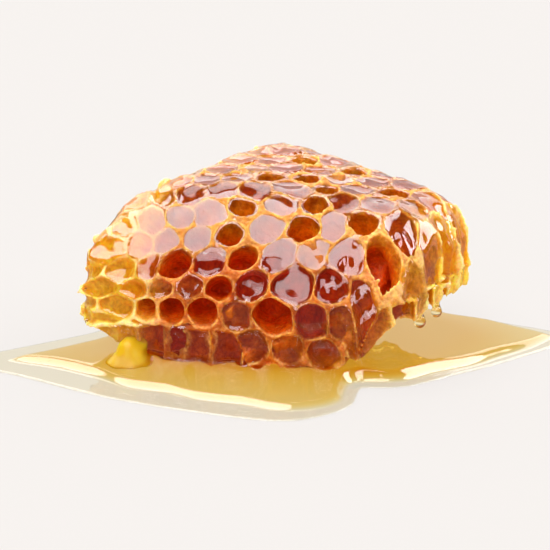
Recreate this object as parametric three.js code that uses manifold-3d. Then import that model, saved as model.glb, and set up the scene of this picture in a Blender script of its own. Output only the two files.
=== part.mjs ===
// A broken-off chunk of honeycomb standing in the puddle of honey that has run out of it.
// Millimetres, +Z up. The origin is the middle of the whole thing's footprint, on the table.
import * as THREE from 'three';
import { mergeVertices } from 'three/addons/utils/BufferGeometryUtils.js';
import Module from 'manifold-3d';

// ---- Driving dimensions ----------------------------------------------------------------------
const CELL_PITCH = 5.25; // worker cells, wall middle to wall middle
const ROW_PITCH = CELL_PITCH * Math.sqrt(3) / 2;
const WALL = 0.7; // wax rim between two cells
const RECESS = 0.9; // how far the honey in a filled cell lies below the rims
const EMPTY_DEPTH = 8.5; // how deep the broken-open cells go
const MIDRIB = 0.8; // wax sheet between the upper and the lower layer of cells
const MOST_SLANT = 5; // a cell whose opening slants more than this is cut lengthwise
const RIGHT_BAND = 5; // how far in from the right face the upright cells reach
const FRONT_END = -17; // the upright cells stop here, short of the front corner
const OVERHANG = 2.8; // how far outside the chunk a cell's middle can be and still cut its side
const PRISM_TOP = 26; // above every rim
const CENTRE_JITTER = 0.42; // how far a cell's middle strays from the even lattice
const GAP = 0.32; // air kept between pieces that touch

const CORNERS = [[-32.5, -8], [17.5, -19.8], [32.5, 2.2], [0.5, 32.5]]; // left, front, right, back
const UNDERSIDE = 1.5; // height of the foot that stands in the honey
const WIDEST = 9; // height where the chunk is widest
const TOP_MIDDLE = 25.4; // height of the top above the origin
const TOP_SLOPE = 0.11; // how much the top rises towards the back
const FRONT_ROUND = 13; // radius from the top down to the front

const BEND = { y: -1, z: 9, radius: 15 }; // line that the front cells fan out from

const POOL_DEPTH = 1.2;
const POOL_FILM = 0.42; // the thin sheet at the pool's rim
const POOL_OUTLINE = [
  [-46.5, -8.6], [-36, -15.3], [-24.3, -22.1], [-10, -27.7], [2, -30.4], [9.5, -26.4],
  [11.6, -22.4], [11.2, -19.2], [17.7, -19], [25.5, -14.6], [33.7, -9.6], [46.5, 2.2],
  [37, 9], [27, 14.5], [13, 25], [1, 32], [-10, 25.5], [-21, 12.5], [-29.2, 4], [-38.2, -2],
];

// The cells that are broken open, as [column, row]. Rows count back from the bend line.
const EMPTY_CELLS = [
  [0, -7], [-4, -5], [-3, -5], [-2, -5], [0, -5], [-2, -4], [-3, -3], [-1, -3], [3, -3],
  [-2, -2], [0, -2], [2, -2], [-1, -1], [1, -1], [1, 0], [3, 0], [0, 1], [1, 1], [2, 2], [1, 3],
];

const wasm = await Module();
wasm.setup();

// ---- Small helpers ---------------------------------------------------------------------------
const { clamp } = THREE.MathUtils;

function ease(x, from, to) {
  const t = clamp((x - from) / (to - from), 0, 1);
  return t * t * (3 - 2 * t);
}

/** The overlap of two signed distances, with their edge rounded to a radius. */
function roundMax(a, b, radius) {
  const corner = Math.hypot(Math.max(a + radius, 0), Math.max(b + radius, 0));
  return Math.min(Math.max(a, b), -radius) + corner;
}

/** An even pseudo-random number from -1 to 1 for one cell. */
function scatter(column, row, channel) {
  const s = Math.sin(column * 12.9898 + row * 78.233 + channel * 37.719) * 43758.5453;
  return 2 * (s - Math.floor(s)) - 1;
}

function toSolid(geometry) {
  const plain = geometry.clone();
  plain.deleteAttribute('normal');
  plain.deleteAttribute('uv');
  const merged = mergeVertices(plain, 1e-5);
  return new wasm.Manifold(new wasm.Mesh({
    numProp: 3,
    vertProperties: new Float32Array(merged.attributes.position.array),
    triVerts: new Uint32Array(merged.index.array),
  }));
}

function fromSolid(solid) {
  const mesh = solid.getMesh();
  const geometry = new THREE.BufferGeometry();
  geometry.setAttribute('position', new THREE.BufferAttribute(mesh.vertProperties, 3));
  geometry.setIndex(new THREE.BufferAttribute(mesh.triVerts, 1));
  return geometry;
}

/** A closed skin over a stack of rings with the same number of points, flat at both ends. */
function ringStack(rings) {
  const count = rings[0].length;
  const index = [];
  for (let k = 0; k + 1 < rings.length; k += 1) {
    for (let i = 0; i < count; i += 1) {
      const a = k * count + i;
      const b = k * count + (i + 1) % count;
      index.push(a, b, b + count, a, b + count, a + count);
    }
  }
  const points = rings.flat();
  for (const [start, flip] of [[0, true], [(rings.length - 1) * count, false]]) {
    const middle = points.length;
    const ring = points.slice(start, start + count);
    points.push(ring.reduce((sum, p) => sum.add(p), new THREE.Vector3()).divideScalar(count));
    for (let i = 0; i < count; i += 1) {
      const a = start + i;
      const b = start + (i + 1) % count;
      index.push(...(flip ? [b, a, middle] : [a, b, middle]));
    }
  }
  const geometry = new THREE.BufferGeometry().setFromPoints(points);
  geometry.setIndex(index);
  return geometry;
}

// ---- Outer shape of the chunk ----------------------------------------------------------------
/** Distance outside one upright side, which leans in above and below the widest height. */
function side(x, y, z, from, to, lean) {
  const length = Math.hypot(to[0] - from[0], to[1] - from[1]);
  const normal = [(to[1] - from[1]) / length, (from[0] - to[0]) / length];
  const outside = (x - from[0]) * normal[0] + (y - from[1]) * normal[1];
  return outside + lean * Math.abs(z - WIDEST);
}

/** Distance outside the four sides. */
function sides(x, y, z) {
  const [left, front, right, back] = CORNERS;
  const bulge = 0.24 * Math.max(WIDEST - z, 0) * ease(-x, -5, 5);
  const swell = 1.1 * clamp((-x - 5) / 15, 0, 1) * ease(z, 9, 17) - 0.3;
  const shoulder = 0.3 * clamp((x - 12) / 10, 0, 1);
  const rightBack = side(x, y, z, right, back, 0.12) - shoulder;
  const backRight = roundMax(side(x, y, z, front, right, 0.1), rightBack, 5);
  return {
    front: side(x, y, z, left, front, 0.12) - bulge,
    rest: roundMax(backRight, side(x, y, z, back, left, 0.1) - swell, 8),
  };
}

function topHeight(x, y) {
  const away = x + 2;
  return TOP_MIDDLE + TOP_SLOPE * y - (away > 0 ? 0.0024 : 0.0029) * away * away;
}

/** The foot is level in the middle, curls up on the left and is torn away high on the right. */
function undersideHeight(x) {
  const curl = 4 * clamp((-x - 12) / 16, 0, 1) ** 2;
  const tear = 1.6 * ease(x, 7, 11.5) + 5 * ease(x, 11.5, 17) + 0.9 * clamp((x - 17) / 9, 0, 1);
  return UNDERSIDE + curl + tear;
}

/** Signed distance outside the whole chunk. */
function chunk(x, y, z) {
  const around = sides(x, y, z);
  const top = (z - topHeight(x, y)) * 0.99;
  const upper = roundMax(roundMax(around.front, top, FRONT_ROUND), around.rest, 6);
  return roundMax(upper, undersideHeight(x) - z, 2.5);
}

/** A closed skin where the chunk's distance has one value, found outwards from its middle. */
function chunkSkin(distance, around, levels) {
  const middle = new THREE.Vector3(-1, 0, 13);
  const rings = [];
  for (let k = 1; k < levels; k += 1) {
    const polar = Math.PI * k / levels;
    const ring = [];
    for (let i = 0; i < around; i += 1) {
      const turn = 2 * Math.PI * (i + 0.5) / around;
      const flat = Math.sin(polar);
      const ray = new THREE.Vector3(Math.cos(turn) * flat, Math.sin(turn) * flat, -Math.cos(polar));
      let near = 0;
      let far = 60;
      for (let step = 0; step < 40; step += 1) {
        const reach = (near + far) / 2;
        const p = ray.clone().multiplyScalar(reach).add(middle);
        if (chunk(p.x, p.y, p.z) < distance) near = reach;
        else far = reach;
      }
      ring.push(ray.multiplyScalar(near).add(middle));
    }
    rings.push(ring);
  }
  return toSolid(ringStack(rings));
}

// ---- The lattice of cells --------------------------------------------------------------------
const isEven = (row) => Math.abs(row % 2) === 0;

/** Middle of a cell in the lattice's own plane, in millimetres. */
function cellCentre(column, row, layer) {
  const shift = (isEven(row) ? 0.5 : 0) - 0.1 + (layer === 'lower' ? 0.5 : 0);
  const channel = layer === 'lower' ? 4 : 0;
  return new THREE.Vector2(
    (column + shift) * CELL_PITCH + CENTRE_JITTER * scatter(column, row, channel),
    (row - 0.1) * ROW_PITCH + CENTRE_JITTER * scatter(column, row, channel + 1),
  );
}

/** Where the three walls between three neighbouring cells meet. */
function wallCorner(a, b, c) {
  const ab = b.clone().sub(a);
  const ac = c.clone().sub(a);
  const twice = 2 * ab.cross(ac);
  const u = (ac.y * ab.lengthSq() - ab.y * ac.lengthSq()) / twice;
  const v = (ab.x * ac.lengthSq() - ac.x * ab.lengthSq()) / twice;
  return a.clone().add(new THREE.Vector2(u, v));
}

/** The six corners of a cell's opening, in from the middle of its walls by half a wall. */
function cellOutline(column, row, layer) {
  const even = isEven(row) ? 1 : 0;
  const around = [
    [column + 1, row], [column + even, row + 1], [column + even - 1, row + 1],
    [column - 1, row], [column + even - 1, row - 1], [column + even, row - 1],
  ].map(([c, r]) => cellCentre(c, r, layer));
  const centre = cellCentre(column, row, layer);
  const corners = around.map((p, k) => wallCorner(centre, p, around[(k + 1) % 6]));
  const middle = corners.reduce((sum, p) => sum.add(p), new THREE.Vector2()).divideScalar(6);
  return corners.map((p) => p.lerp(middle, WALL / CELL_PITCH));
}

/** The lattice is squeezed at the left and pushed sideways across the middle of the front. */
function unwarp(u, v) {
  let x = u;
  for (let step = 0; step < 30; step += 1) {
    const push = 0.3 * CELL_PITCH * Math.exp(-(((v + 9) / 6.5) ** 2)) * (1 - ease(x, 6, 11));
    x = u + push + 0.0115 * clamp(x + 4, -17, 0) ** 2;
  }
  return x;
}

/** A point of the upper layer: upright behind the bend line, fanned out in front of it. */
function upperPoint(p, w) {
  const x = unwarp(p.x, p.y);
  if (p.y >= 0) return new THREE.Vector3(x, BEND.y + p.y, BEND.z + w);
  const angle = -p.y / BEND.radius;
  return new THREE.Vector3(x, BEND.y - w * Math.sin(angle), BEND.z + w * Math.cos(angle));
}

/** The cells along the right face stand upright, so that the face cuts them lengthwise. */
function uprightPoint(p, w) {
  return new THREE.Vector3(unwarp(p.x, p.y), BEND.y + p.y, BEND.z + w);
}

function nearRightFace(point) {
  return side(point.x, point.y, WIDEST, CORNERS[1], CORNERS[2], 0) > -RIGHT_BAND;
}

function lowerPoint(p, w) {
  return new THREE.Vector3(unwarp(p.x, p.y), BEND.y + p.y, w);
}

/** One cell's empty space from depth w0 to w1, as a tapering six-sided prism. */
function cellPrism(outline, place, w0, w1) {
  return toSolid(ringStack([w0, w1].map((w) => outline.map((p) => place(p, w)))));
}

/** Height of the midrib's middle: it shows at the left and right, and dips away between. */
function midribHeight(x) {
  return 7 * ease(-x, 2.5, 6.5) + 11.5 * ease(x, 9, 15.5) + 0.08 * Math.max(x - 16, 0);
}

/** Everything above the midrib, or everything below it. */
function besideMidrib(above) {
  const columns = 24;
  const reach = 45;
  const height = above ? MIDRIB / 2 : -MIDRIB / 2;
  const cross = (k) => -reach + 2 * reach * k / columns;
  const profile = Array.from({ length: columns + 1 }, (_, k) => {
    return new THREE.Vector2(cross(k), midribHeight(cross(k)) + height);
  });
  const limit = above ? 60 : -20;
  const outline = [...profile, new THREE.Vector2(reach, limit), new THREE.Vector2(-reach, limit)];
  const slab = new THREE.ExtrudeGeometry(new THREE.Shape(outline), { depth: 90, bevelEnabled: false });
  slab.rotateX(Math.PI / 2);
  slab.translate(0, 45, 0);
  return toSolid(slab);
}

function joinAll(solids) {
  return wasm.Manifold.union(solids);
}

/** How far out along the upper layer's axis at a lattice point the chunk's surface lies. */
function surfaceAlong(p) {
  for (let w = 24; w > 3; w -= 0.05) {
    const q = upperPoint(p, w);
    if (chunk(q.x, q.y, q.z) < 0) return w;
  }
  return null;
}

/** The lowest and highest surface under a cell's opening, or null where it misses the chunk. */
function surfaceUnder(outline) {
  const depths = outline.map(surfaceAlong);
  if (depths.includes(null)) return null;
  return { low: Math.min(...depths), high: Math.max(...depths) };
}

/** Sorts the upper cells: one that meets the surface squarely is a pocket, a cut one a channel. */
function upperLayer() {
  const pockets = [];
  const channels = [];
  for (let row = -7; row <= 8; row += 1) {
    for (let column = -7; column <= 7; column += 1) {
      const outline = cellOutline(column, row, 'upper');
      const centre = cellCentre(column, row, 'upper');
      const stood = uprightPoint(centre, 0);
      if (nearRightFace(stood)) {
        if (sides(stood.x, stood.y, WIDEST).rest < OVERHANG && stood.y > FRONT_END) {
          channels.push(cellPrism(outline, uprightPoint, -BEND.z, PRISM_TOP));
        }
        continue;
      }
      const under = surfaceUnder(outline);
      const probe = upperPoint(centre, 13);
      const outside = sides(probe.x, probe.y, Math.max(probe.z, WIDEST)).rest;
      if (under && under.high - under.low < MOST_SLANT) {
        const empty = EMPTY_CELLS.some(([c, r]) => c === column && r === row);
        const floor = empty ? under.high - EMPTY_DEPTH : under.low - RECESS;
        pockets.push(cellPrism(outline, upperPoint, floor, under.high + 3));
      } else if (outside < OVERHANG) {
        const upright = outline.every((p) => p.y >= 0);
        channels.push(cellPrism(outline, upperPoint, upright ? -BEND.z : 1.5, PRISM_TOP));
      }
    }
  }
  return { pockets: joinAll(pockets), channels: joinAll(channels) };
}

/** The lower layer shows only round the sides, so only those cells are cut. */
function lowerChannels() {
  const prisms = [];
  for (let row = -4; row <= 8; row += 1) {
    for (let column = -7; column <= 7; column += 1) {
      const probe = lowerPoint(cellCentre(column, row, 'lower'), 0);
      const around = sides(probe.x, probe.y, WIDEST);
      const outside = Math.max(around.front, around.rest);
      const showing = midribHeight(probe.x) > undersideHeight(probe.x) + 1;
      if (showing && outside > -3.4 && outside < 2.6) {
        prisms.push(cellPrism(cellOutline(column, row, 'lower'), lowerPoint, -3, 20));
      }
    }
  }
  return joinAll(prisms);
}

/** The chunk: rims and walls standing proud of the honey, and the cells that are empty. */
function combGeometry() {
  const { pockets, channels } = upperLayer();
  const core = chunkSkin(-RECESS, 18, 10);
  const above = besideMidrib(true);
  const grooves = channels.intersect(above).add(lowerChannels().intersect(besideMidrib(false)));
  const comb = chunkSkin(0, 26, 14).subtract(pockets.intersect(above)).subtract(grooves.subtract(core));
  const pieces = comb.decompose();
  pieces.sort((a, b) => b.volume() - a.volume());
  return fromSolid(pieces[0]);
}

// ---- Honey that has run out --------------------------------------------------------------------
/** Width of the thin sheet round the deeper honey: broad at the left, narrow at the right. */
function filmWidth(x) {
  return THREE.MathUtils.lerp(5.2, 1.8, ease(x, -30, 22));
}

function poolGeometry() {
  const around = 68;
  const middle = new THREE.Vector3(0, -2, 0);
  const points = POOL_OUTLINE.map(([x, y]) => new THREE.Vector3(x, y, 0));
  const outline = new THREE.CatmullRomCurve3(points, true, 'centripetal').getSpacedPoints(around);
  outline.pop();
  const ringIn = (inward, height) => outline.map((p) => {
    const reach = p.clone().sub(middle);
    reach.setLength(reach.length() - inward(p.x)).add(middle);
    return reach.setZ(height);
  });
  return ringStack([
    ringIn(() => 0.12, 0),
    ringIn(() => 0, 0.14),
    ringIn(() => 0.35, POOL_FILM * 0.85),
    ringIn((x) => filmWidth(x), POOL_FILM),
    ringIn((x) => filmWidth(x) + 0.7, POOL_DEPTH * 0.85),
    ringIn((x) => filmWidth(x) + 2.2, POOL_DEPTH),
  ]);
}

/** The thick strand that still runs from the chunk's left end into the pool. */
const STRAND = { x: -21.3, y: -11.9, foot: 3.2, waist: 2, height: 1.1, squash: 0.6 };

function strandGeometry() {
  const base = POOL_DEPTH - 0.3;
  const profile = [
    [0, base], [STRAND.foot, base], [STRAND.foot, POOL_DEPTH],
    [STRAND.waist * 1.15, POOL_DEPTH + STRAND.height * 0.35],
    [STRAND.waist, POOL_DEPTH + STRAND.height * 0.75],
    [STRAND.waist * 1.1, POOL_DEPTH + STRAND.height], [0, POOL_DEPTH + STRAND.height],
  ].map(([r, z]) => new THREE.Vector2(r, z));
  const strand = new THREE.LatheGeometry(profile, 20);
  strand.rotateX(Math.PI / 2);
  strand.scale(1, STRAND.squash, 1);
  strand.translate(STRAND.x, STRAND.y, 0);
  return strand;
}

/** The pool and the strand are one body of honey. */
function honeyGeometry() {
  return fromSolid(toSolid(poolGeometry()).add(toSolid(strandGeometry())));
}

/** Drops that hang under the torn right edge: [x, y, radius]. */
const DROPS = [[21.3, -10.2, 0.95], [24.1, -7.4, 0.85]];

/** Height where the chunk begins above a point of the table. */
function surfaceAbove(x, y) {
  let z = 0;
  while (chunk(x, y, z) > 0) z += 0.02;
  return z;
}

/** A hanging drop: round below and drawn out to a neck above. */
function dropGeometry([x, y, radius]) {
  const steps = 7;
  const profile = Array.from({ length: steps + 1 }, (_, k) => {
    const turn = Math.PI * k / steps;
    const neck = 1 - 0.42 * ease(k / steps, 0.5, 1);
    const tall = k > steps / 2 ? 1.35 : 1;
    return new THREE.Vector2(
      Math.max(radius * Math.sin(turn) * neck, 0),
      -radius * Math.cos(turn) * tall,
    );
  });
  profile[0].x = 0;
  profile[steps].x = 0;
  const drop = new THREE.LatheGeometry(profile, 12);
  drop.rotateX(Math.PI / 2);
  drop.computeBoundingBox();
  drop.translate(x, y, surfaceAbove(x, y) - GAP - drop.boundingBox.max.z);
  return fromSolid(toSolid(drop));
}

// ---- Materials and assembly ----------------------------------------------------------------------
const waxAndHoney = new THREE.MeshStandardMaterial({ color: 0xc9772b, roughness: 0.3, metalness: 0 });
const honey = new THREE.MeshStandardMaterial({ color: 0xe7c45f, roughness: 0.08, metalness: 0 });
const dropHoney = new THREE.MeshStandardMaterial({ color: 0xf0cf7a, roughness: 0.05, metalness: 0 });

function piece(name, geometry, material) {
  const mesh = new THREE.Mesh(geometry, material);
  mesh.name = name;
  return mesh;
}

const honeycomb = new THREE.Group();
honeycomb.add(piece('comb', combGeometry(), waxAndHoney));
honeycomb.add(piece('honey_pool', honeyGeometry(), honey));
DROPS.forEach((drop, k) => {
  honeycomb.add(piece(`honey_drop_${k + 1}`, dropGeometry(drop), dropHoney));
});

const box = new THREE.Box3().setFromObject(honeycomb);
const footprint = box.getCenter(new THREE.Vector3());
honeycomb.position.set(-footprint.x, -footprint.y, -box.min.z);
honeycomb.updateMatrixWorld(true);

export default honeycomb;
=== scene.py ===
"""A chunk of honeycomb in its puddle of honey: the looks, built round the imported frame.

The wax and the honey are made as distance fields on a fine grid, and meshed from there.
Lengths in the fields are millimetres in the comb's own axes, and the meshes are metres.
"""
import math

import bmesh
import bpy
import numpy as np
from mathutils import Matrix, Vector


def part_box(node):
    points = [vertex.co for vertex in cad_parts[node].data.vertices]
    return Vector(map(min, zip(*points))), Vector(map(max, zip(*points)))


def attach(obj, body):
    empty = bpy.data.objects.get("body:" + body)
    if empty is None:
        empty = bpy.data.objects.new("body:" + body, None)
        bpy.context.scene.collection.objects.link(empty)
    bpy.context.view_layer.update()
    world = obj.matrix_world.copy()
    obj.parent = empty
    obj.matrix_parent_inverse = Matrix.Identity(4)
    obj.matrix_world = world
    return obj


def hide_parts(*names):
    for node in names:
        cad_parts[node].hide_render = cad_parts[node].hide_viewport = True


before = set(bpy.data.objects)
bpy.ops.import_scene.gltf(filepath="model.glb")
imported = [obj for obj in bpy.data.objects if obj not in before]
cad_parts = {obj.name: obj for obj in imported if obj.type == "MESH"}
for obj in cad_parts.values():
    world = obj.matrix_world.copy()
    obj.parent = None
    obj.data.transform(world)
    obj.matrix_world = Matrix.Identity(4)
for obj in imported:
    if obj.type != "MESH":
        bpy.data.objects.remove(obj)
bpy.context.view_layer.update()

import openvdb
from mathutils import Vector

MM = 0.001
# The part's origin is the middle of its footprint; this takes the comb's own axes there.
SHIFT = np.array([0.06, -0.76, 0.0])

# ---- Driving dimensions, the same as in the part's source ---------------------------------------
CELL_PITCH = 5.25
ROW_PITCH = CELL_PITCH * math.sqrt(3) / 2
CENTRE_JITTER = 0.42
SQUEEZE = 0.0115  # the cells get narrower towards the left end
CORNERS = ((-32.5, -8.0), (17.5, -19.8), (32.5, 2.2), (0.5, 32.5))  # left, front, right, back
FOOT = 0.7  # the foot reaches just into the pool, so that no gap shows
WIDEST = 9.0
TOP_MIDDLE = 25.4
TOP_SLOPE = 0.11
FRONT_ROUND = 13.0
BEND_Y, BEND_Z, BEND_RADIUS = -1.0, 9.0, 15.0
POOL_DEPTH = 1.2
POOL_FILM = 0.22
EMPTY_CELLS = (
    (0, -7), (-4, -5), (-3, -5), (-2, -5), (0, -5), (-2, -4), (-3, -3), (-1, -3), (3, -3),
    (-2, -2), (0, -2), (2, -2), (-1, -1), (1, -1), (1, 0), (3, 0), (0, 1), (1, 1), (2, 2), (1, 3),
)
WIDE_CELLS = ((-3, -5), (-2, -5), (-3, -3), (0, -5), (-2, -3), (0, -4))
CAPPED_CELLS = (
    (-4, -4), (-3, -4), (-1, -5), (-1, -6), (0, -6), (2, -5), (1, -3), (-2, -6), (-3, -6),
    (-4, -6), (4, -1), (-4, 0), (2, 1), (-1, 2),
)

# ---- Sizes that only the fine model has ---------------------------------------------------------
GRID = 0.26  # grid step of the wax and honey fields
MOST_TRIANGLES = 195000  # in the wax, and in the honey
POOL_TRIANGLES = 120000
WALL_HALF = 0.14  # half a wall's thickness at its rim
WALL_SPREAD = 0.13  # how much thicker each half is deep down
EMPTY_DEPTH = 5.6
FLOOR_DEPTH = 3.6  # from the rims down to the floor of a filled cell
SIDE_FLOOR_DEPTH = 1.15  # the same in the bright cells along the left and back
CAP_DEPTH = 0.62  # the same in a cell that is capped with wax
MOUTH_RADIUS = 2.5  # of an empty cell's round mouth
MOUTH_IN_HONEY = 0.3  # how much wider the round mouth of a filled cell is
CORNER_SOFTNESS = 0.3  # rounds the cells' corners
UNEVEN_ROOM = 0.9  # how unevenly the cells share their room, in square millimetres
WIDE_ROOM = 2.6  # room that a wide cell takes from its neighbours
CAPPED_ROOM = 1.6  # room that a capped cell gives up
TORN_LEFT_OF = -4  # the columns left of this one are torn, and much more uneven
TORN_UNEVENNESS = 6
FLOODED = (  # patches where honey lies over the rims: middle, half sizes, and where they end
    (-4.5, -7.5, 15, 6, 1.25),
    (4, -11, 7, 4.5, 1.2),
)
FILM_LEFT, FILM_RIGHT = 5.2, 1.8  # width of the pool's thin sheet, round its deeper honey
POOL_BASE = 0.25  # how much deeper the deeper honey is, far from the chunk
STRAND_X, STRAND_Y = -21.3, -11.9  # where the strand meets the pool
STRAND_WAIST = 2.0  # half its width at its narrowest
STRAND_SQUASH = 0.72  # its thickness from front to back, as a share of its width
STRAND_FLARE = 1.6  # how much its foot spreads into the pool
STRAND_LEAN = (0.5, 1.6)  # how far it leans to the right and to the back on its way up
STRAND_TOP = 4.7
DROP_NECK = 1.2  # how far a drop's neck goes up from the CAD drop, into the chunk
SMALLEST_BIT = 600  # a loose bit with fewer vertices than this is left out
CELLS = 14  # the tables hold cells from -CELLS to +CELLS in columns and rows


# ---- Shared shape functions ---------------------------------------------------------------------
def ease(x, start, end):
    t = np.clip((x - start) / (end - start), 0, 1)
    return t * t * (3 - 2 * t)


def round_max(a, b, radius):
    """The overlap of two distance fields, with the edge between them rounded."""
    corner = np.hypot(np.maximum(a + radius, 0), np.maximum(b + radius, 0))
    return np.minimum(np.maximum(a, b), -radius) + corner


def round_min(a, b, radius):
    """Two distance fields joined, with a fillet between them."""
    return -round_max(-a, -b, radius)


def ripple(x, y, z, wavelength, seed, waves=7):
    """Smooth noise, about -1 to 1, from a few sine waves in random directions."""
    rng = np.random.default_rng(seed)
    total = np.zeros(np.broadcast(x, y, z).shape, np.float32)
    for _ in range(waves):
        k = rng.normal(size=3)
        k *= 2 * math.pi / wavelength * rng.uniform(0.7, 1.4) / np.linalg.norm(k)
        total += np.sin(k[0] * x + k[1] * y + k[2] * z + rng.uniform(0, 2 * math.pi))
    return total / math.sqrt(waves)


def side(x, y, z, start, end, lean):
    """Distance outside one upright side, which leans in above and below the widest height."""
    length = math.hypot(end[0] - start[0], end[1] - start[1])
    normal = ((end[1] - start[1]) / length, (start[0] - end[0]) / length)
    return (x - start[0]) * normal[0] + (y - start[1]) * normal[1] + lean * np.abs(z - WIDEST)


def right_side(x, y, z):
    """Distance outside the cut face at the right."""
    return side(x, y, z, CORNERS[1], CORNERS[2], 0.1)


def top_height(x, y):
    """The gently rounded top, which rises towards the back."""
    away = x + 2
    return TOP_MIDDLE + TOP_SLOPE * y - np.where(away > 0, 0.0024, 0.0029) * away * away


def underside_height(x):
    """The underside: a level foot that curls up at the left and is torn away at the right."""
    curl = 4 * np.clip((-x - 12) / 16, 0, 1) ** 2
    tear = 1.6 * ease(x, 7, 11.5) + 5 * ease(x, 11.5, 17) + 0.9 * np.clip((x - 17) / 9, 0, 1)
    return FOOT + curl + tear + 0.8 * ease(curl + tear, 0.2, 1.5)


def chunk(x, y, z):
    """Signed distance outside the whole chunk, up to its rims."""
    left, front, right, back = CORNERS
    front_side = side(x, y, z, left, front, 0.12) - 0.24 * np.maximum(WIDEST - z, 0) * ease(-x, -5, 5)
    swell = 1.1 * np.clip((-x - 5) / 15, 0, 1) * ease(z, 9, 17) - 0.3
    back_left = side(x, y, z, back, left, 0.1) - swell
    right_back = side(x, y, z, right, back, 0.12) - 0.3 * np.clip((x - 12) / 10, 0, 1)
    rest = round_max(right_side(x, y, z), right_back, 5)
    rest = round_max(rest, back_left, 8)
    top = (z - top_height(x, y)) * 0.99
    upper = round_max(front_side, top, FRONT_ROUND)
    upper = round_max(upper, rest, 6)
    return round_max(upper, underside_height(x) - z, 1.3)


def midrib_height(x):
    """Height of the midrib's middle: it shows at the left and right, and dips away between."""
    left = 7 * ease(-x, 2.5, 6.5) - 0.9 * ease(-x, 16, 29)
    return left + 11.5 * ease(x, 9, 15.5) + 0.08 * np.maximum(x - 16, 0)


# ---- The lattice of cells -----------------------------------------------------------------------
def scatter(channel):
    """A table of even pseudo-random numbers from -1 to 1, one for each cell."""
    cell = np.arange(-CELLS, CELLS + 1, dtype=float)
    s = np.sin(cell[:, None] * 12.9898 + cell[None, :] * 78.233 + channel * 37.719) * 43758.5453
    return (2 * (s - np.floor(s)) - 1).astype(np.float32)


def centre_tables(layer):
    """Middles of all cells of a layer, in the lattice's own plane."""
    column, row = np.meshgrid(*[np.arange(-CELLS, CELLS + 1)] * 2, indexing="ij")
    shift = np.where(row % 2 == 0, 0.5, 0.0) - 0.1 + (0.5 if layer == "lower" else 0)
    channel = 4 if layer == "lower" else 0
    u = (column + shift) * CELL_PITCH + CENTRE_JITTER * scatter(channel)
    v = (row - 0.1) * ROW_PITCH + CENTRE_JITTER * scatter(channel + 1)
    return u.astype(np.float32), v.astype(np.float32)


def marked(cell_list):
    """A table that is True for the listed cells."""
    table = np.zeros((2 * CELLS + 1,) * 2, bool)
    for column, row in cell_list:
        table[column + CELLS, row + CELLS] = True
    return table


def room_table(layer):
    """How much room each cell takes from its neighbours, in square millimetres."""
    room = UNEVEN_ROOM * scatter(11 if layer == "upper" else 12)
    room[:CELLS + TORN_LEFT_OF] *= TORN_UNEVENNESS
    if layer == "upper":
        room = room + WIDE_ROOM * marked(WIDE_CELLS) - CAPPED_ROOM * marked(CAPPED_CELLS)
    return room.astype(np.float32)


def nearest_cell(x, v, v_scale, layer):
    """Distances to the nearest wall's middle and to the cell's round mouth, and the cell's
    place in the tables. The lattice is pushed sideways across the middle of the front."""
    push = 0.3 * CELL_PITCH * np.exp(-(((v + 9) / 6.5) ** 2)) * (1 - ease(x, 6, 11))
    u = x - push - SQUEEZE * np.clip(x + 4, -17, 0) ** 2
    table_u, table_v = centre_tables(layer)
    weight = room_table(layer)
    extra = 0.5 if layer == "lower" else 0.0
    middle_row = np.rint(v / ROW_PITCH + 0.1).astype(np.int32)
    found = []
    for row_step in (-1, 0, 1):
        row = middle_row + row_step
        shift = np.where(row % 2 == 0, 0.5, 0.0) - 0.1 + extra
        middle_column = np.rint(u / CELL_PITCH - shift).astype(np.int32)
        for column_step in (-1, 0, 1):
            i = np.clip(middle_column + column_step + CELLS, 0, 2 * CELLS)
            j = np.clip(row + CELLS, 0, 2 * CELLS)
            cu, cv = table_u[i, j], table_v[i, j]
            found.append((cu, cv, (u - cu) ** 2 + (v - cv) ** 2 - weight[i, j], i, j))
    pick = np.stack([f[2] for f in found]).argmin(0)[None]
    cu, cv, near, i, j = (
        np.take_along_axis(np.stack([f[k] for f in found]), pick, 0)[0] for k in range(5)
    )
    # The distances to the walls all round, blended so that the corners come out round.
    total = np.zeros_like(near)
    for fu, fv, far, _, _ in found:
        apart = np.hypot(fu - cu, fv - cv)
        edge = (far - near) / (2 * np.maximum(apart, 1e-3))
        total += np.where(apart > 1e-3, np.exp(-edge / CORNER_SOFTNESS), 0)
    distance = -CORNER_SOFTNESS * np.log(total + 1e-20)
    reach = np.sqrt(MOUTH_RADIUS**2 + weight[i, j])
    round_wall = reach + 0.12 * scatter(9)[i, j] - np.sqrt(np.maximum(near + weight[i, j], 0))
    # The lattice's own plane is stretched, and this takes its distances back to millimetres.
    u_scale = 1 - 2 * SQUEEZE * np.where(x > -21, np.minimum(x + 4, 0), 0)
    scale = np.sqrt((u_scale**2 + v_scale**2) / 2)
    return distance / scale, round_wall / scale, i, j


def cells(x, y, z):
    """For points of the comb: distances to the wall's middle and to the cell's round mouth,
    the cell's place, and whether it is above the midrib."""
    sway = 0.16 * ripple(x, y, z, 9, 21) + 0.13 * ripple(x, y, z, 3, 23)
    swing = 0.16 * ripple(x, y, z, 9, 22) + 0.13 * ripple(x, y, z, 3, 24)
    xs, ys = x + sway, y + swing
    front = ys < BEND_Y
    radius = np.hypot(BEND_Y - ys, z - BEND_Z)
    turn = np.arctan2(BEND_Y - ys, z - BEND_Z)
    upright = ease(right_side(x, y, z), -8, -3.5)
    v = np.where(front, -BEND_RADIUS * turn, ys - BEND_Y)
    v = v * (1 - upright) + (ys - BEND_Y) * upright
    v_scale = np.where(front, BEND_RADIUS / np.maximum(radius, 2.5), 1)
    v_scale = v_scale * (1 - upright) + upright
    upper = nearest_cell(xs, v, v_scale, "upper")
    lower = nearest_cell(xs, ys - BEND_Y, 1.0, "lower")
    above = z > midrib_height(x)
    return (*(np.where(above, a, b) for a, b in zip(upper, lower)), above)


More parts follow.
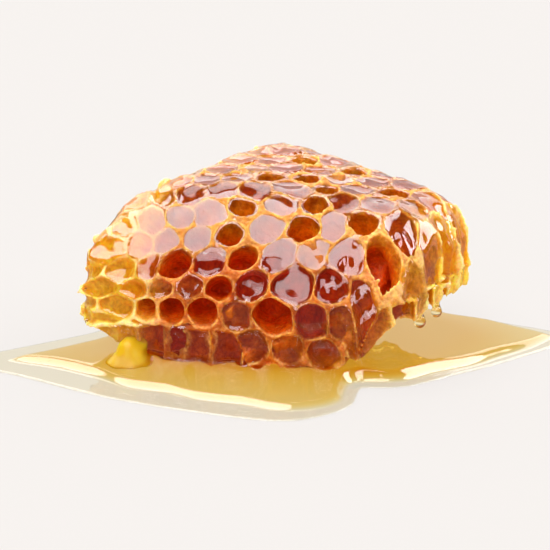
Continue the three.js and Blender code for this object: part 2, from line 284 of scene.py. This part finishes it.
# ---- Fields of the wax and the honey ------------------------------------------------------------
def comb_fields(x, y, z):
    """All that both bodies need at each point: distances, and what kind of cell it is in.

    h is the distance outside the rims, and d the distance from the middle of the nearest wall.
    level is how far below the rims the cell's honey stands.
    """
    hull = chunk(x, y, z)
    d, mouth, i, j, above = cells(x, y, z)
    h = hull + 0.3 * ease(midrib_height(x) - z, 0.2, 1.4)
    empty = marked(EMPTY_CELLS)[i, j] & above
    capped = marked(CAPPED_CELLS)[i, j] & above
    d = np.minimum(d, mouth + np.where(empty, 0, MOUTH_IN_HONEY))
    flat_top = ease(y, -14, -8) * ease(z, 13, 17)
    right = ease(right_side(x, y, z), -5, -2)
    level = 0.6 + 0.3 * scatter(7)[i, j] - 0.42 * flat_top + 0.25 * right
    level = level - 0.1 * ease(-x, 18, 23)
    level = np.where(capped, 0.4 + 0.25 * scatter(8)[i, j], level)
    level = level * (1 - 0.6 * ease(midrib_height(x) - z, -0.3, 1.2) * (1 - right))
    return {
        "hull": hull, "h": h, "d": d, "empty": empty, "capped": capped, "level": level,
        "flat_top": flat_top, "right": right,
    }


def outer_sides(x, y):
    """1 in the bright cells along the chunk's left and back, and 0 away from them."""
    left, _, _, back = CORNERS
    along = ease(side(x, y, WIDEST, back, left, 0), -9, -4)
    return np.maximum(along, ease(-x, 18, 24))


def wax_field(x, y, z, f):
    """The wax: walls up to their rims, the floors of the cells, and the midrib's edge."""
    rough = ripple(x, y, z, 1.1, 31, 9)
    kink = ripple(x, y, z, 2.6, 33)
    wave = ripple(x, y, z, 5, 32)
    torn = outer_sides(x, y)
    h, d, right = f["h"], f["d"], f["right"]
    flute = ripple(x, y, 0.22 * z, 2.6, 35)
    collar = f["empty"] * ease(d, 0, 0.12)
    half = WALL_HALF + WALL_SPREAD * (1 - np.exp(np.minimum(h, 0) / 1.1)) + 0.03 * rough
    tip = ease(-x, 18, 24)
    half = (half + 0.06 * np.maximum(kink, 0) + 0.05 * collar) * (1 - 0.3 * tip)
    rim = h - 0.02 + 0.13 * rough + (0.08 + 0.15 * right) * kink + (0.15 + 0.3 * torn) * wave
    rim = rim + 0.25 * right * flute + tip * (0.8 * np.maximum(-wave, 0) - 0.5 * kink)
    walls = round_max(d - half, rim - 0.12 * collar, 0.1)
    depth = np.where(f["empty"], EMPTY_DEPTH, FLOOR_DEPTH * (1 - torn) + SIDE_FLOOR_DEPTH * torn)
    depth = np.where(f["capped"], CAP_DEPTH + 0.3 * wave, depth)
    core = h + depth + 0.15 * wave + 0.1 * rough
    ridge = ease(-x, -2, 8)
    rib = np.abs(z - midrib_height(x) - 0.45 * wave) - 0.17 - 0.12 * ridge - 0.1 * rough
    rib = round_max(rib, f["hull"] + 0.6 - 0.7 * ridge - 0.4 * wave - 0.2 * kink, 0.2)
    return round_min(round_min(walls, core, 0.25), rib, 0.3)


def film(x, y, z):
    """Where honey has flooded the rims: 1 in the middle of the top, 0 elsewhere."""
    patches = [
        ease(np.hypot((x - cx) / wide, (y - cy) / deep), end, 0.6)
        for cx, cy, wide, deep, end in FLOODED
    ]
    return np.maximum(*patches) * ease(z, 14, 18)


def honey_field(x, y, z, f):
    """The honey: a body up to each cell's own level, with the empty cells taken out of it."""
    wave = ripple(x, y, z, 7, 41) + 0.6 * ripple(x, y, z, 3.5, 42)
    climb = 0.34 * np.exp(-np.maximum(f["d"] - WALL_HALF, 0) / 0.45)
    level = f["level"] - climb
    flooded = film(x, y, z)
    level = level * (1 - flooded) + (0.18 + 0.3 * (f["level"] - 0.2)) * flooded + 0.1 * wave
    corner = np.exp(-(((x - 13) / 6) ** 2)) * ease(-y, 6, 13)
    body = f["h"] + level + 0.32 * corner * ripple(x, y, z, 3.4, 44)
    body = body + 0.22 * f["right"] * ripple(x, y, 0.22 * z, 3, 43)
    lip = 0.1 + 0.65 * f["flat_top"] * np.exp(np.minimum(f["h"], 0) / 1.3)
    hollow = np.where(f["empty"], np.minimum(f["d"] - lip, f["h"] + EMPTY_DEPTH + 0.2), -9)
    return np.maximum(body, hollow)


# ---- Mesh making --------------------------------------------------------------------------------
def grid_axes(low, high, steps):
    """The places of a grid's points along each of its three axes."""
    return [np.arange(a, b + s, s, dtype=np.float32) for a, b, s in zip(low, high, steps)]


def mesh_from_field(name, values, low, steps):
    """The surface where a field on a grid is zero, as a smooth-shaded object in metres."""
    band = 3 * max(steps)
    grid = openvdb.FloatGrid(band)
    grid.copyFromArray(np.clip(values, -band, band))
    points, triangles, quads = grid.convertToPolygons(isovalue=0.0)
    points = points * np.array(steps) + np.array(low)
    return make_object(name, points, triangles.tolist() + quads.tolist())


def make_object(name, points_mm, faces):
    """A smooth-shaded object, from points in the comb's own axes."""
    mesh = bpy.data.meshes.new(name)
    mesh.from_pydata(((points_mm + SHIFT) * MM).tolist(), [], faces)
    mesh.update()
    mesh.shade_smooth()
    made = bpy.data.objects.new(name, mesh)
    bpy.context.scene.collection.objects.link(made)
    return made


def points_of(made):
    """A piece's vertices, in millimetres in the comb's own axes."""
    co = np.zeros(len(made.data.vertices) * 3, np.float32)
    made.data.vertices.foreach_get("co", co)
    return co.reshape(-1, 3) / MM - SHIFT.astype(np.float32)


def thin_out(made, most_triangles):
    """Collapses edges until the piece has at most this many triangles."""
    count = sum(len(p.vertices) - 2 for p in made.data.polygons)
    if count <= most_triangles:
        return
    modifier = made.modifiers.new("thin_out", "DECIMATE")
    modifier.ratio = most_triangles / count
    evaluated = made.evaluated_get(bpy.context.evaluated_depsgraph_get())
    slim = bpy.data.meshes.new_from_object(evaluated)
    made.modifiers.clear()
    made.data = slim
    made.data.shade_smooth()


def drop_crumbs(made):
    """Takes away the loose bits of a mesh, which have broken off from its main body."""
    edges = np.zeros(len(made.data.edges) * 2, np.int32)
    made.data.edges.foreach_get("vertices", edges)
    root = list(range(len(made.data.vertices)))
    for a, b in edges.reshape(-1, 2).tolist():
        while root[a] != a:
            root[a] = root[root[a]]
            a = root[a]
        while root[b] != b:
            root[b] = root[root[b]]
            b = root[b]
        root[max(a, b)] = min(a, b)
    root = np.array(root)
    while (root[root] != root).any():
        root = root[root]
    crumb = np.bincount(root, minlength=len(root))[root] < SMALLEST_BIT
    work = bmesh.new()
    work.from_mesh(made.data)
    work.verts.ensure_lookup_table()
    bmesh.ops.delete(work, geom=[work.verts[k] for k in np.flatnonzero(crumb)], context="VERTS")
    work.to_mesh(made.data)
    work.free()


def set_attribute(made, name, values):
    attribute = made.data.attributes.new(name, "FLOAT", "POINT")
    attribute.data.foreach_set("value", values.astype(np.float32))


def make_comb():
    """The wax and the honey in it, from one pass over the grid."""
    low, high = (-31.5, -20.5, 0.4), (31.5, 33.0, 29.2)
    steps = (GRID,) * 3
    gx, gy, gz = grid_axes(low, high, steps)
    x, y, z = np.meshgrid(gx, gy, gz, indexing="ij")
    h = chunk(x, y, z)
    # Both surfaces lie in this band. It is thicker at the left end, where rims stand higher.
    near = (h > -EMPTY_DEPTH - 1.2) & (h < np.where(x < -19, 2.0, 0.9))
    x, y, z = x[near], y[near], z[near]
    f = comb_fields(x, y, z)
    pieces = []
    for name, field in (("wax", wax_field), ("honey", honey_field)):
        values = h.copy()
        values[near] = field(x, y, z, f)
        pieces.append(mesh_from_field(name, values, low, steps))
    return pieces


# ---- Materials ----------------------------------------------------------------------------------
class Nodes:
    """A short way to write the node tree of a new material, or of a world."""

    def __init__(self, owner):
        named = isinstance(owner, str)
        self.material = bpy.data.materials.new(owner) if named else owner
        self.material.use_nodes = True
        self.tree = self.material.node_tree
        self.tree.nodes.clear()
        kind = "ShaderNodeOutputMaterial" if named else "ShaderNodeOutputWorld"
        self.output = self.add(kind)

    def add(self, kind, settings=None, **inputs):
        """A new node. Its settings come by attribute name, and its inputs by socket name."""
        node = self.tree.nodes.new(kind)
        for key, value in (settings or {}).items():
            setattr(node, key, value)
        for key, value in inputs.items():
            self.put(node, key.replace("_", " "), value)
        return node

    def put(self, node, socket, value):
        target = node.inputs[socket] if isinstance(socket, int) else self.find(node, socket)
        if isinstance(value, bpy.types.NodeSocket):
            self.tree.links.new(value, target)
        else:
            target.default_value = value

    @staticmethod
    def find(node, name):
        return next(s for s in node.inputs if s.name.lower() == name.lower() and s.enabled)

    def ramp(self, factor, stops):
        node = self.add("ShaderNodeValToRGB")
        self.put(node, 0, factor)
        elements = node.color_ramp.elements
        while len(elements) < len(stops):
            elements.new(0.5)
        for element, (position, colour) in zip(elements, stops):
            element.position = position
            element.color = (*colour, 1)
        return node.outputs[0]

    def mix(self, factor, a, b, blend="MIX"):
        node = self.add("ShaderNodeMix", {"data_type": "RGBA", "blend_type": blend})
        self.put(node, 0, factor)
        self.put(node, 6, a)  # 6 and 7 are the node's two colours, and output 2 their mix
        self.put(node, 7, b)
        return node.outputs[2]

    def math(self, operation, a, b=None):
        node = self.add("ShaderNodeMath", {"operation": operation})
        self.put(node, 0, a)
        if b is not None:
            self.put(node, 1, b)
        return node.outputs[0]

    def attribute(self, name):
        return self.add("ShaderNodeAttribute", {"attribute_name": name}).outputs["Fac"]


def wax_material():
    """Wet wax, pale at the rims and deep amber below them, painted brighter where light comes
    through.
    """
    m = Nodes("wax")
    depth = m.attribute("depth")
    glow = m.attribute("glow")
    place = m.add("ShaderNodeTexCoord").outputs["Object"]
    grain = m.add("ShaderNodeTexNoise", Vector=place, Scale=2000.0, Detail=5.0)
    blotch = m.add("ShaderNodeTexNoise", Vector=place, Scale=600.0, Detail=4.0)
    # Painted light and shade: the front ramp is a darker, shaded copy of the wax, and the top ramp a
    # lighter, lit one.
    front = m.ramp(depth, [
        (0.0, (0.6, 0.17, 0.014)), (0.02, (0.54, 0.12, 0.006)), (0.06, (0.54, 0.1, 0.004)),
        (0.3, (0.68, 0.085, 0.003)), (0.8, (0.6, 0.05, 0.002)),
    ])
    top = m.ramp(depth, [
        (0.0, (0.66, 0.32, 0.05)), (0.02, (0.55, 0.22, 0.012)), (0.06, (0.52, 0.18, 0.006)),
        (0.3, (0.72, 0.24, 0.004)), (0.8, (0.76, 0.2, 0.003)),
    ])
    # Painted backlight: the yellow colour of the thin ends and the back, where light shines through
    # the wax.
    bright = m.ramp(depth, [
        (0.0, (0.88, 0.68, 0.34)), (0.015, (0.88, 0.58, 0.15)), (0.05, (0.94, 0.62, 0.07)),
        (0.6, (0.98, 0.67, 0.04)),
    ])
    colour = m.mix(m.attribute("top"), front, top)  # the ramps run from a rim down to a floor, and the lit top ramp is painted light on the top and the right face
    colour = m.mix(glow, colour, bright)
    patch = m.ramp(blotch.outputs[0], [(0.38, (0.66, 0.48, 0.35)), (0.6, (1.0, 1.0, 1.0))])
    uneven = m.math("SUBTRACT", 0.8, m.math("MULTIPLY", glow, 0.25))  # evener where it glows
    colour = m.mix(uneven, colour, patch, "MULTIPLY")
    dust = m.ramp(grain.outputs[0], [(0.35, (0.7, 0.58, 0.5)), (0.6, (1.0, 1.0, 1.0))])
    colour = m.mix(uneven, colour, dust, "MULTIPLY")
    colour = m.mix(m.attribute("flake"), colour, (0.88, 0.66, 0.36, 1))
    # Pale grainy specks along the rims: partly the wax's grain, partly painted glints, stronger on
    # the lit top.
    speck_and_glint = m.ramp(grain.outputs[0], [(0.42, (0.35, 0.35, 0.35)), (0.62, (1.0, 1.0, 1.0))])
    colour = m.mix(m.math("MULTIPLY", speck_and_glint, m.attribute("rim_grain_and_glint")), colour, (0.9, 0.57, 0.18, 1))
    bump = m.add("ShaderNodeBump", Strength=0.9, Distance=0.0004, Height=grain.outputs[0])
    shader = m.add(
        "ShaderNodeBsdfPrincipled", {"subsurface_method": "RANDOM_WALK"},
        Roughness=0.3, IOR=1.44, Normal=bump.outputs[0],
    )
    m.put(shader, "Base Color", colour)
    # A small emission is painted light: it stands in for the light that comes through the thin walls
    # from behind, and a little for the light on the top.
    lit = m.math("MAXIMUM", glow, m.math("MULTIPLY", m.attribute("top"), 0.35))
    through = m.mix(lit, (0.65, 0.3, 0.05, 1), (0.9, 0.84, 0.48, 1))
    m.put(shader, "Emission Color", m.mix(1.0, colour, through, "MULTIPLY"))
    m.put(shader, "Emission Strength", 0.3)
    m.put(shader, "Specular IOR Level", 0.2)
    m.put(shader, "Subsurface Weight", 1.0)
    m.put(shader, "Subsurface Radius", (1.0, 0.4, 0.1))
    m.put(shader, "Subsurface Scale", 0.0024)
    m.put(m.output, "Surface", shader.outputs[0])
    return m.material


def honey_material(name, colour, density, wobble):
    """Clear honey. It absorbs density * (1 - colour) of red, green and blue in each metre."""
    m = Nodes(name)
    place = m.add("ShaderNodeTexCoord").outputs["Object"]
    swirl = m.add("ShaderNodeTexNoise", Vector=place, Scale=180.0, Detail=1.0)
    bump = m.add("ShaderNodeBump", Strength=wobble, Distance=0.0002, Height=swirl.outputs[0])
    shader = m.add("ShaderNodeBsdfPrincipled", Roughness=0.02, IOR=1.49, Normal=bump.outputs[0])
    m.put(shader, "Base Color", (1.0, 1.0, 1.0, 1))
    m.put(shader, "Transmission Weight", 1.0)
    m.put(shader, "Specular IOR Level", 0.25)
    m.put(m.output, "Surface", shader.outputs[0])
    absorb = m.add("ShaderNodeVolumeAbsorption")
    absorb.inputs["Color"].default_value = (*colour, 1)
    absorb.inputs["Density"].default_value = density
    m.put(m.output, "Volume", absorb.outputs[0])
    return m.material


def strand_material():
    """Honey in a thick strand: part clear, and mostly milky with scattered light."""
    m = Nodes("honey_strand")
    place = m.add("ShaderNodeTexCoord").outputs["Object"]
    swirl = m.add("ShaderNodeTexNoise", Vector=place, Scale=300.0, Detail=2.0)
    golden = m.ramp(swirl.outputs[0], [(0.35, (0.62, 0.38, 0.006)), (0.65, (0.76, 0.52, 0.02))])
    bump = m.add("ShaderNodeBump", Strength=0.05, Distance=0.0002, Height=swirl.outputs[0])
    shader = m.add(
        "ShaderNodeBsdfPrincipled", {"subsurface_method": "RANDOM_WALK"},
        Roughness=0.2, IOR=1.35, Normal=bump.outputs[0],
    )
    m.put(shader, "Base Color", golden)
    # A small emission is painted light, a glow in the strand's golden colour.
    m.put(shader, "Emission Color", golden)
    m.put(shader, "Emission Strength", 0.08)
    m.put(shader, "Specular IOR Level", 0.1)
    m.put(shader, "Transmission Weight", 0.3)
    m.put(shader, "Subsurface Weight", 1.0)
    m.put(shader, "Subsurface Radius", (1.0, 0.6, 0.15))
    m.put(shader, "Subsurface Scale", 0.003)
    m.put(m.output, "Surface", shader.outputs[0])
    return m.material


# ---- The pool -----------------------------------------------------------------------------------
def pool_outline():
    """The CAD pool's outermost ring, in order, as a smooth closed line in millimetres."""
    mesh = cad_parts["honey_pool"].data
    points = np.array([v.co[:] for v in mesh.vertices]) / MM - SHIFT
    rim = points[(points[:, 2] > 0.1) & (points[:, 2] < 0.18)][:, :2]
    middle = np.array([0.0, -2.0])
    turn = np.arctan2(rim[:, 1] - middle[1], rim[:, 0] - middle[0])
    order = np.argsort(turn)
    turn, reach = turn[order], np.hypot(*(rim[order] - middle).T)
    keep = np.append(np.diff(turn) > 1e-4, True)
    turn, reach = turn[keep], reach[keep]
    fine = np.linspace(-math.pi, math.pi, 720, endpoint=False)
    reach = np.interp(fine, turn, reach, period=2 * math.pi)
    soft = np.exp(-0.5 * (np.arange(-6, 7) / 2.2) ** 2)
    reach = np.convolve(np.pad(reach, 6, "wrap"), soft / soft.sum(), "valid")
    return middle + np.stack([np.cos(fine) * reach, np.sin(fine) * reach], 1)


def inside_distance(px, py, outline):
    """Distance in from a closed outline, negative outside it."""
    a, b = outline, np.roll(outline, -1, 0)
    best = np.full(px.shape, 1e9, np.float32)
    inside = np.zeros(px.shape, bool)
    for (ax, ay), (bx, by) in zip(a, b):
        ex, ey = bx - ax, by - ay
        t = np.clip(((px - ax) * ex + (py - ay) * ey) / (ex * ex + ey * ey), 0, 1)
        best = np.minimum(best, np.hypot(px - ax - t * ex, py - ay - t * ey))
        crosses = (ay > py) != (by > py)
        inside ^= crosses & (px < ex * (py - ay) / (ey if ey else 1e-9) + ax)
    return np.where(inside, best, -best)


def make_pool():
    """The puddle: a thin sheet, deeper honey inside it, and the most of it near the chunk."""
    low, high, steps = (-47.5, -31.5, -0.2), (47.5, 33.0, 6.2), (0.34, 0.34, 0.085)
    gx, gy, gz = grid_axes(low, high, steps)
    px, py = np.meshgrid(gx, gy, indexing="ij")
    inward = inside_distance(px, py, pool_outline())
    wide = FILM_LEFT + (FILM_RIGHT - FILM_LEFT) * ease(px, -30, 22)
    wide = wide + 0.5 * ripple(px, py, 0 * px, 14, 51)
    lip = np.sqrt(np.clip(1 - (1 - np.clip(inward / 0.55, 0, 1)) ** 2, 0, 1))
    foot = np.maximum(chunk(px, py, 0 * px + FOOT + 1.2), 0)
    height = POOL_FILM * lip
    # The deeper honey is deepest against the chunk, and more so at the right.
    full = POOL_BASE + 1.35 * np.exp(-foot / 9) + ease(px, 8, 20) * 1.7 * np.exp(-foot / 6)
    height = height + full * ease(inward - wide, -0.5, 1.3)
    height = height + 0.5 * np.exp(-foot / 0.8) * (inward > wide)
    height = np.where(inward > 0, height, -0.5 + 0.4 * np.clip(inward, -1, 0))
    z = gz[None, None, :]
    field = np.maximum(z - height[..., None], -z)
    return mesh_from_field("pool", field.astype(np.float32), low, steps)


def make_strand():
    """The thick strand of honey that runs from the chunk's left end down into the pool."""
    reach, step = 4.6, (0.11,) * 3
    low = (STRAND_X - reach, STRAND_Y - reach, POOL_DEPTH - 0.6)
    high = (STRAND_X + reach, STRAND_Y + reach, STRAND_TOP + 0.7)
    x, y, z = np.meshgrid(*grid_axes(low, high, step), indexing="ij")
    rise = np.clip((z - POOL_DEPTH) / 3.2, 0, 1)
    foot = STRAND_FLARE * np.exp(-np.maximum(z - POOL_DEPTH, 0) / 0.8)
    head = 0.15 * np.maximum(z - 3.3, 0) ** 1.5
    across = x - STRAND_X - STRAND_LEAN[0] * rise**2
    along = (y - STRAND_Y - STRAND_LEAN[1] * rise**2) / STRAND_SQUASH
    strand = np.hypot(across, along) - STRAND_WAIST - (foot - head)
    strand = strand + 0.22 * ripple(x, y, 0.5 * z, 3, 52)
    strand = round_max(strand * 0.8, z - STRAND_TOP, 0.9)
    return mesh_from_field("strand", np.maximum(strand, low[2] + 0.2 - z), low, step)


def make_drop(node):
    """A clear drop where the CAD drop is, hanging by a neck from the chunk above it."""
    low, high = (np.array(corner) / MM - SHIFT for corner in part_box(node))
    cx, cy = (low[:2] + high[:2]) / 2
    radius = (high[0] - low[0]) / 2
    middle = low[2] + radius * 1.05
    step = (0.07,) * 3
    reach = radius + 0.4
    bottom = (cx - reach, cy - reach, low[2] - 0.3)
    top = (cx + reach, cy + reach, high[2] + DROP_NECK + 0.4)
    x, y, z = np.meshgrid(*grid_axes(bottom, top, step), indexing="ij")
    away = np.hypot(x - cx, y - cy)
    ball = np.hypot(away, (z - middle) / 1.1) - radius * 0.97
    neck = away - radius * (0.42 + 0.25 * ease(z, high[2] - 0.2, high[2] + DROP_NECK))
    neck = np.maximum(neck, np.maximum(z - high[2] - DROP_NECK, middle - z))
    return mesh_from_field(node.replace("honey_", ""), round_min(ball, neck, 0.5), bottom, step)


# ---- Stage, lights and camera -------------------------------------------------------------------
PAPER = (0.93, 0.896, 0.871, 1)  # the pale floor, as it should look
FLOOR_MATTE = 0.12  # the share of the floor's look that comes from the light falling on it
FLOOR_GLOW = 0.75  # the share that it gives off itself, which keeps the background even
FLOOR_MIRRORED = 0.12  # how bright the floor is in reflections, so that they don't haze the comb


def mirror_ray(m):
    """1 for light seen in a reflection, and 0 for light seen straight on or through honey."""
    path = m.add("ShaderNodeLightPath").outputs
    clear = m.math("SUBTRACT", 1.0, path["Is Transmission Ray"])
    return m.math("MULTIPLY", path["Is Glossy Ray"], clear)


def make_stage():
    """The pale floor, which also is the background."""
    size, z = 6.0, 0.05 * MM
    corners = [(-size, -size, z), (size, -size, z), (size, size, z), (-size, size, z)]
    mesh = bpy.data.meshes.new("floor")
    mesh.from_pydata(corners, [], [(0, 1, 2, 3)])
    floor = bpy.data.objects.new("floor", mesh)
    bpy.context.scene.collection.objects.link(floor)
    m = Nodes("floor")
    matte = tuple(FLOOR_MATTE * c for c in PAPER[:3]) + (1,)
    diffuse = m.add("ShaderNodeBsdfDiffuse", Color=matte)
    strength = m.math("MULTIPLY_ADD", mirror_ray(m), (FLOOR_MIRRORED - 1) * FLOOR_GLOW)
    m.put(strength.node, 2, FLOOR_GLOW)
    glow = m.add("ShaderNodeEmission", Color=PAPER, Strength=strength)
    both = m.add("ShaderNodeAddShader")
    m.put(both, 0, diffuse.outputs[0])
    m.put(both, 1, glow.outputs[0])
    m.put(m.output, "Surface", both.outputs[0])
    floor.data.materials.append(m.material)


def softbox(m, direction, azimuth, elevation, width, height, edge=2.0):
    """1 inside a rectangle of sky, 0 outside, with a soft edge. Angles are in degrees."""
    azimuth, elevation = math.radians(azimuth), math.radians(elevation)
    ahead = Vector((
        math.sin(azimuth) * math.cos(elevation),
        math.cos(azimuth) * math.cos(elevation),
        math.sin(elevation),
    ))
    right = Vector((math.cos(azimuth), -math.sin(azimuth), 0))
    up = right.cross(ahead)
    dots = []
    for axis in (ahead, right, up):
        dot = m.add("ShaderNodeVectorMath", {"operation": "DOT_PRODUCT"})
        m.put(dot, 0, direction)
        dot.inputs[1].default_value = axis
        dots.append(dot.outputs["Value"])
    mask = m.math("GREATER_THAN", dots[0], 0.0)
    for dot, size in ((dots[1], width), (dots[2], height)):
        tangent = m.math("ABSOLUTE", m.math("DIVIDE", dot, dots[0]))
        angle = m.math("MULTIPLY", m.math("ARCTANGENT", tangent), 180 / math.pi)
        limit = m.math("SUBTRACT", size / 2, angle)
        rise = m.math("DIVIDE", limit, edge)
        rise.node.use_clamp = True
        mask = m.math("MULTIPLY", mask, rise)
    return mask


SOFTBOXES = (  # azimuth (0 is behind the comb, 90 its right), elevation, width, height, radiance
    (0, 42, 104, 30, 3.9),
    (-115, 71, 66, 56, 10.0),
    (-155, 30, 34, 26, 7.0),
    (85, 38, 28, 44, 14.0),
    (152, 42, 20, 18, 12.0),
    (0, 14, 200, 36, 0.9),
)
SKY = 0.1  # radiance between the softboxes
SOFT_SHARE = 0.45  # matt surfaces are lit by this share of it, and reflections show all of it


def make_world():
    """Softboxes all round, as a background lit by direction."""
    world = bpy.data.worlds.new("studio")
    bpy.context.scene.world = world
    m = Nodes(world)
    direction = m.add("ShaderNodeTexCoord").outputs["Generated"]
    light = SKY
    for azimuth, elevation, width, height, radiance in SOFTBOXES:
        mask = softbox(m, direction, azimuth, elevation, width, height)
        light = m.math("ADD", m.math("MULTIPLY", mask, radiance), light)
    share = m.math("MULTIPLY_ADD", mirror_ray(m), 1 - SOFT_SHARE)
    m.put(share.node, 2, SOFT_SHARE)
    background = m.add("ShaderNodeBackground", Strength=m.math("MULTIPLY", light, share))
    background.inputs[0].default_value = (1.0, 0.985, 0.97, 1)
    m.put(m.output, "Surface", background.outputs[0])


CAMERA_DISTANCE, CAMERA_RISE = 0.175, math.radians(17)
AIM_HEIGHT = 11.0
VIEW_WIDTH = 0.08503  # what the picture takes in at that distance


def make_camera():
    """The camera, straight in front of the comb and a little above it."""
    data = bpy.data.cameras.new("camera")
    data.sensor_width = 36
    data.lens = data.sensor_width * CAMERA_DISTANCE / VIEW_WIDTH
    data.clip_start, data.clip_end = 0.01, 10
    made = bpy.data.objects.new("camera", data)
    back = Vector((0, -math.cos(CAMERA_RISE), math.sin(CAMERA_RISE)))
    aim = Vector((SHIFT[0], SHIFT[1], AIM_HEIGHT)) * MM
    made.location = aim + back * CAMERA_DISTANCE
    made.rotation_mode = "QUATERNION"
    made.rotation_quaternion = (-back).to_track_quat("-Z", "Y")
    bpy.context.scene.collection.objects.link(made)
    bpy.context.scene.camera = made


# ---- Putting it together ------------------------------------------------------------------------
def finish_wax(wax):
    """Thins the wax's mesh, and writes the attributes that its material reads."""
    drop_crumbs(wax)
    thin_out(wax, MOST_TRIANGLES)
    x, y, z = points_of(wax).T
    f = comb_fields(x, y, z)
    set_attribute(wax, "depth", np.clip(-f["h"] / 10, 0, 1))
    painted_shade_below_midrib = 1 - 0.45 * ease(midrib_height(x) - z, -0.5, 1.5)  # painted shade: dimmer below the midrib
    # Painted backlight: brighter where light comes through the thin ends, the back, and a little at
    # the lower right.
    ends = ease(-x, 13, 22) * painted_shade_below_midrib + 1.1 * ease(x, 19, 27) + 0.5 * ease(y, 2, 18)
    ends = ends + 0.4 * ease(x, 0, 9) * ease(-z, -5, -2) + 0.25 * f["right"]
    ends = ends + 0.2 * ease(x, 7, 13) * ease(-y, 8, 13)
    # Painted light: the top and the right face take the wax's lighter, lit colour.
    high = np.maximum(ease(z, 15, 21), 0.9 * f["right"])
    set_attribute(wax, "top", high)
    # Painted shade: the insides of the empty cells at the front get none of the painted backlight.
    hollow = 1 - 0.8 * f["empty"] * ease(f["d"], 0.1, 0.4) * ease(-y, -2, 2)
    set_attribute(wax, "glow", np.clip(ends + outer_sides(x, y) * painted_shade_below_midrib, 0, 1) * hollow)
    set_attribute(wax, "flake", ease(f["hull"], 0.0, 0.45) * ease(-x, 20, 23))
    # The rims' specks: partly the wax's grain, partly painted glints, more where the top is lit.
    rim_grain_and_glint = np.exp(-(((f["d"] - 0.13) / 0.1) ** 2)) * ease(f["h"], -0.4, -0.08)
    set_attribute(wax, "rim_grain_and_glint", rim_grain_and_glint * (0.75 + 0.25 * high))


def dress(piece, material, node):
    """Gives a piece its material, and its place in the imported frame."""
    piece.data.materials.clear()
    piece.data.materials.append(material)
    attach(piece, "root")
    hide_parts(node)


def main():
    scene = bpy.context.scene
    scene.view_settings.view_transform = "Standard"
    make_camera()
    make_stage()
    make_world()

    wax, honey = make_comb()
    finish_wax(wax)
    drop_crumbs(honey)
    thin_out(honey, MOST_TRIANGLES)
    pool = make_pool()
    thin_out(pool, POOL_TRIANGLES)
    comb_honey = honey_material("honey_in_comb", (0.94, 0.78, 0.0), density=600.0, wobble=0.06)
    pool_honey = honey_material("honey_pool", (0.965, 0.775, 0.0), density=1350.0, wobble=0.03)
    drop_honey = honey_material("honey_drops", (0.96, 0.76, 0.0), density=450.0, wobble=0.03)
    dress(wax, wax_material(), "comb")
    dress(honey, comb_honey, "comb")
    dress(pool, pool_honey, "honey_pool")
    dress(make_strand(), strand_material(), "honey_pool")
    for node in ("honey_drop_1", "honey_drop_2"):
        dress(make_drop(node), drop_honey, node)


main()
